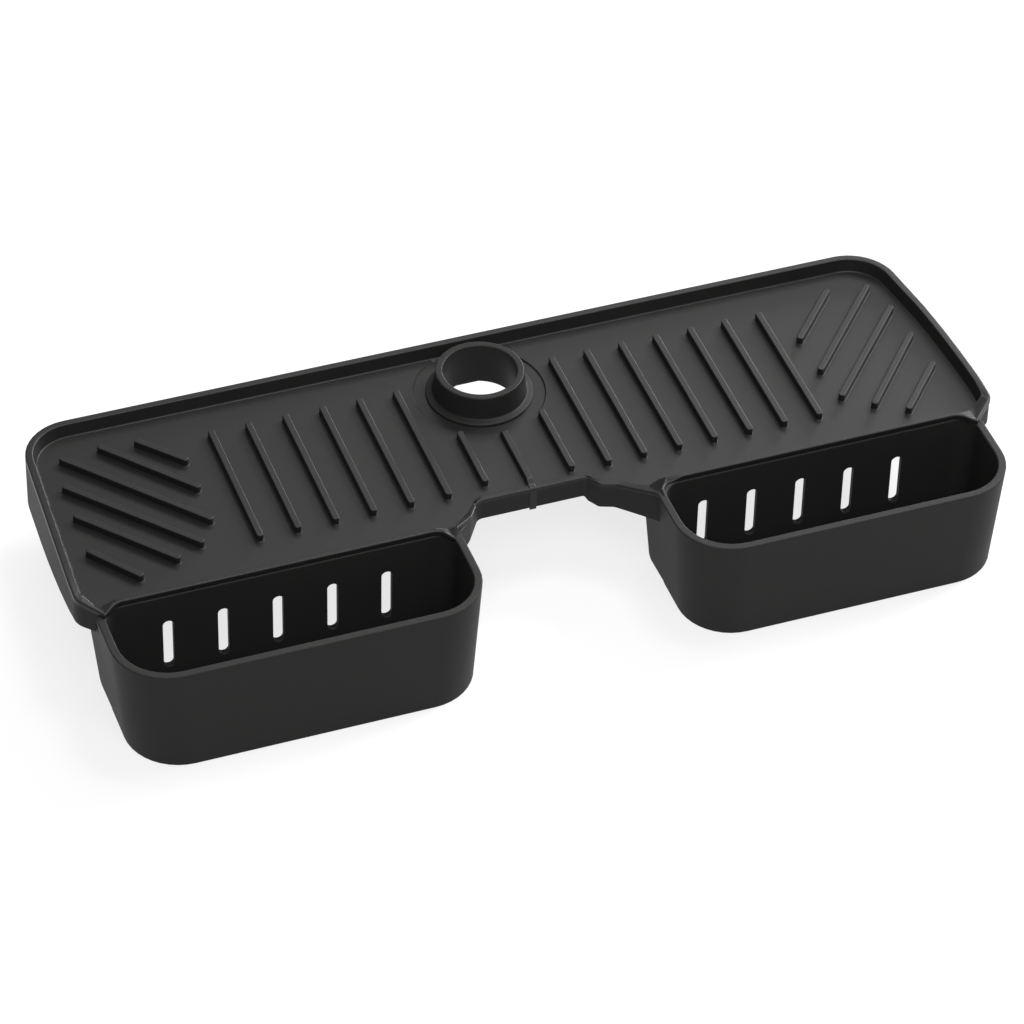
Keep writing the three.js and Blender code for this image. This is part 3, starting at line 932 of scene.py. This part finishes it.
# Studio. A matt floor that shows white to the camera and keeps the soft shadow under the baskets, a
# strong softbox at the right, a low one at the right behind, weaker ones behind, overhead and in
# front, and a dim white room.
FLOOR_HALF = 6
FLOOR_GLOW = 0.76
ROOM_GLOW = 0.3
AIM_HEIGHT = 0.05
softboxes = {
    "right softbox": {"centre": (2.6, 0.8, 2.1), "width": 1.2, "height": 1.2, "power": 118},
    "low softbox": {"centre": (1.5, 1.5, 0.45), "width": 0.6, "height": 0.5, "power": 22},
    "back softbox": {"centre": (1.05, 1.5, 1.95), "width": 1.6, "height": 1.0, "power": 12, "aim_x": 0.1},
    "top softbox": {"centre": (0.5, 0, 2.2), "width": 0.6, "height": 0.6, "power": 18},
    "front softbox": {"centre": (-0.3, -1.5, 2.0), "width": 1.6, "height": 1.2, "power": 30},
}
floor_mesh = bpy.data.meshes.new("floor")
floor_corners = [(x * FLOOR_HALF, y * FLOOR_HALF, 0) for x, y in ((-1, -1), (1, -1), (1, 1), (-1, 1))]
floor_mesh.from_pydata(floor_corners, [], [(0, 1, 2, 3)])
floor = bpy.data.objects.new("floor", floor_mesh)
scene.collection.objects.link(floor)
# Matt paint, written as a mid grey, so that the floor throws little light back. The glow lifts it
# to white for the camera and in reflections.
floor_paint = bpy.data.materials.new("matt studio floor paint")
floor_paint.use_nodes = True
tree = floor_paint.node_tree
tree.nodes.clear()
rays = add_node(tree, "ShaderNodeLightPath", {}).outputs
seen = {0: rays["Is Camera Ray"], 1: rays["Is Glossy Ray"]}
seen = add_node(tree, "ShaderNodeMath", seen, operation="MAXIMUM")
seen = add_node(tree, "ShaderNodeMath", {0: seen, 1: rays["Is Transmission Ray"]}, operation="MAXIMUM")
glow = add_node(tree, "ShaderNodeMath", {0: seen, 1: FLOOR_GLOW}, operation="MULTIPLY")
paint = add_node(tree, "ShaderNodeBsdfDiffuse", {"Color": linear("#868686")})
light = add_node(tree, "ShaderNodeEmission", {"Color": linear("#ffffff"), "Strength": glow})
both = add_node(tree, "ShaderNodeAddShader", {0: paint, 1: light})
add_node(tree, "ShaderNodeOutputMaterial", {"Surface": both})
floor.data.materials.append(floor_paint)


def softbox(name, centre, width, height, power, aim_x=0):
    aim = Vector((aim_x, 0, AIM_HEIGHT)) - Vector(centre)
    lamp = bpy.data.lights.new(name, "AREA")
    lamp.shape = "RECTANGLE"
    lamp.size = width
    lamp.size_y = height
    lamp.energy = power
    holder = bpy.data.objects.new(name, lamp)
    holder.location = centre
    holder.rotation_mode = "QUATERNION"
    holder.rotation_quaternion = aim.to_track_quat("-Z", "Y")
    scene.collection.objects.link(holder)


for name, sizes in softboxes.items():
    softbox(name, **sizes)

world = bpy.data.worlds.new("dim white room")
scene.world = world
world.use_nodes = True
tree = world.node_tree
tree.nodes.clear()
sky = add_node(tree, "ShaderNodeBackground", {"Color": linear("#ffffff"), "Strength": ROOM_GLOW})
add_node(tree, "ShaderNodeOutputWorld", {"Surface": sky})

# Camera at the photograph's viewing angle, on a long lens.
VIEW_AZIMUTH = math.radians(-20.627)
VIEW_ELEVATION = math.radians(41.646)
VIEW_ROLL = math.radians(1.452)
CAMERA_PLACE = (-668.7, -1828.3, 1641.9)
CAMERA_LENS = 175.19
camera = bpy.data.objects.new("camera", bpy.data.cameras.new("camera"))
scene.collection.objects.link(camera)
scene.camera = camera
camera.data.lens = CAMERA_LENS
camera.data.sensor_width = 36
camera.data.clip_end = 50
camera.location = place(*CAMERA_PLACE)
level = math.cos(VIEW_ELEVATION)
ahead = (-math.sin(VIEW_AZIMUTH) * level, math.cos(VIEW_AZIMUTH) * level, -math.sin(VIEW_ELEVATION))
camera.rotation_mode = "QUATERNION"
camera.rotation_quaternion = Vector(ahead).to_track_quat("-Z", "Y") @ Quaternion((0, 0, 1), VIEW_ROLL)
scene.view_settings.view_transform = "Standard"
